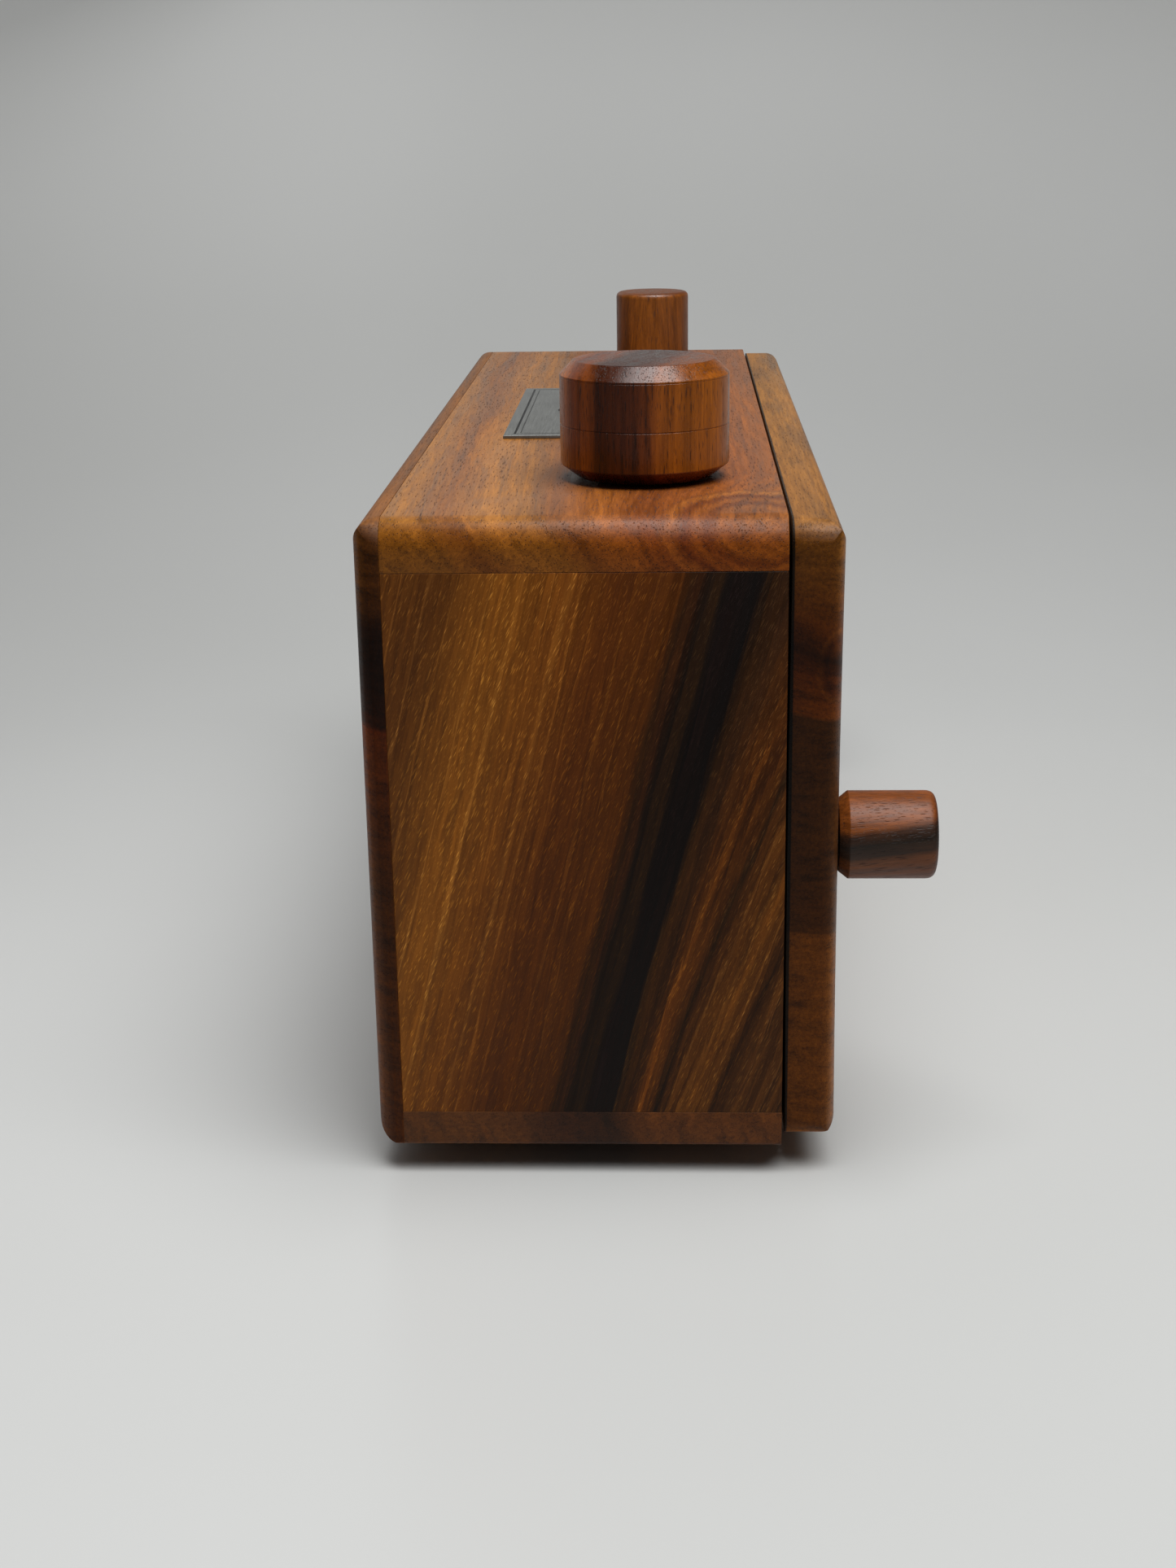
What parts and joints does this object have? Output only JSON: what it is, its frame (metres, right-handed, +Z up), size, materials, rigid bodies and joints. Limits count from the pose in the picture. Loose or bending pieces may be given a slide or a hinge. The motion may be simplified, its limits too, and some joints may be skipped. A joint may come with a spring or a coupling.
{
  "type": "pinhole camera",
  "caption": "Walnut roll-film pinhole camera: a box case with a clamped lift-off back, a winding and a supply knob, a film gate, a swinging shutter and a tripod socket.",
  "frame": {"origin": "mouth of the tripod socket under the middle of the case, level with the underside of the feet", "axes": "+X along the case towards the winding knob, -Y out of the front with the pinhole, +Y out of the back, +Z up"},
  "size_m": [0.176, 0.0765, 0.0996],
  "materials": {
    "walnut": "oiled satin, golden to reddish brown with fine pores",
    "dark_walnut": "oiled satin, dark brown strips glued edge to edge",
    "blackened_wood": "matt black paint against stray light",
    "nameplate_metal": "satin grey",
    "brass": "turned satin",
    "blackened_brass": "blackened",
    "steel": "satin",
    "rubber": "matt black",
    "felt": "black wool felt",
    "nylon": "natural nylon",
    "spool_plastic": "moulded black",
    "blackened_aluminium": "black anodised",
    "red_acrylic": "clear deep red"
  },
  "bodies": {
    "case": {"front_panel": "dark_walnut", "top_board": "walnut", "bottom_board": "dark_walnut", "winding_end_wall": "walnut", "supply_end_wall": "walnut", "winding_well_wall": "blackened_wood", "supply_well_wall": "blackened_wood", "film_gate": "blackened_wood", "nameplate": "nameplate_metal", "tripod_block": "blackened_wood", "tripod_bush": "brass", "tripod_screws": "steel", "feet": "rubber", "winding_bush": "brass", "supply_bush": "brass", "winding_pivot": "brass", "supply_pivot": "brass", "clamp_inserts": "brass", "pinhole_disc": "brass", "pinhole_retainer": "blackened_brass", "pinhole_screws": "steel", "shutter_pivot": "brass", "shutter_washer": "brass", "shutter_stops": "brass"},
    "shutter": {"shutter_lever": "walnut", "shutter_felt": "felt"},
    "winder_lift": {"winding_washer": "nylon"},
    "winder": {"winding_knob": "walnut", "winding_shaft": "brass", "winding_felt": "felt"},
    "take_up": {"take_up_spool": "spool_plastic"},
    "supply_lift": {"supply_washer": "nylon"},
    "supply": {"supply_knob": "walnut", "supply_shaft": "brass", "supply_felt": "felt"},
    "back": {"back_panel": "dark_walnut", "light_trap_board": "blackened_wood", "pressure_pad": "felt", "pressure_plate": "blackened_aluminium", "red_window": "red_acrylic", "window_pivot": "brass"},
    "window_cover": {"window_cover": "brass"},
    "winding_end_travel": {"winding_end_clip": "steel"},
    "winding_end_screw": {"winding_end_thumb_knob": "walnut", "winding_end_stud": "steel"},
    "supply_end_travel": {"supply_end_clip": "steel"},
    "supply_end_screw": {"supply_end_thumb_knob": "walnut", "supply_end_stud": "steel"}
  },
  "joints": [
    {"name": "back_lift_off", "type": "slide", "parent": "case", "child": "back", "axis": [0, 1, 0], "range_m": [0, 0.06]},
    {"name": "winding_end_screw_travel", "type": "slide", "parent": "back", "child": "winding_end_travel", "axis": [0, 1, 0], "range_m": [0, 0.004]},
    {"name": "winding_end_screw_turn", "type": "hinge", "parent": "winding_end_travel", "child": "winding_end_screw", "pos_m": [0.0805, 0.029, 0.0432], "axis": [0, 1, 0], "range_deg": [0, 2057.5]},
    {"name": "supply_end_screw_travel", "type": "slide", "parent": "back", "child": "supply_end_travel", "axis": [0, 1, 0], "range_m": [0, 0.004]},
    {"name": "supply_end_screw_turn", "type": "hinge", "parent": "supply_end_travel", "child": "supply_end_screw", "pos_m": [-0.0805, 0.029, 0.0432], "axis": [0, 1, 0], "range_deg": [0, 2057.5]},
    {"name": "window_cover_swing", "type": "hinge", "parent": "back", "child": "window_cover", "pos_m": [0.012, 0.02915, 0.0274], "axis": [0, 1, 0], "range_deg": [0, 100]},
    {"name": "winding_knob_lift", "type": "slide", "parent": "case", "child": "winder_lift", "axis": [0, 0, 1], "range_m": [0, 0.0039]},
    {"name": "winding_knob_turn", "type": "hinge", "parent": "winder_lift", "child": "winder", "pos_m": [0.059, 0.0052, 0.0849], "axis": [0, 0, 1], "continuous": true},
    {"name": "take_up_spool_turn", "type": "hinge", "parent": "case", "child": "take_up", "pos_m": [0.059, 0.0052, 0.0434], "axis": [0, 0, 1], "continuous": true},
    {"name": "supply_knob_lift", "type": "slide", "parent": "case", "child": "supply_lift", "axis": [0, 0, 1], "range_m": [0, 0.0039]},
    {"name": "supply_knob_turn", "type": "hinge", "parent": "supply_lift", "child": "supply", "pos_m": [-0.059, 0.0052, 0.0849], "axis": [0, 0, 1], "continuous": true},
    {"name": "shutter_swing", "type": "hinge", "parent": "case", "child": "shutter", "pos_m": [0.02, -0.029, 0.0434], "axis": [0, 1, 0], "range_deg": [0, 70]}
  ],
  "couplings": [
    {"joint": "take_up_spool_turn", "follows": "winding_knob_turn", "ratio": 1},
    {"joint": "winding_end_screw_turn", "follows": "winding_end_screw_travel", "rad_per_m": 8976},
    {"joint": "supply_end_screw_turn", "follows": "supply_end_screw_travel", "rad_per_m": 8976}
  ]
}
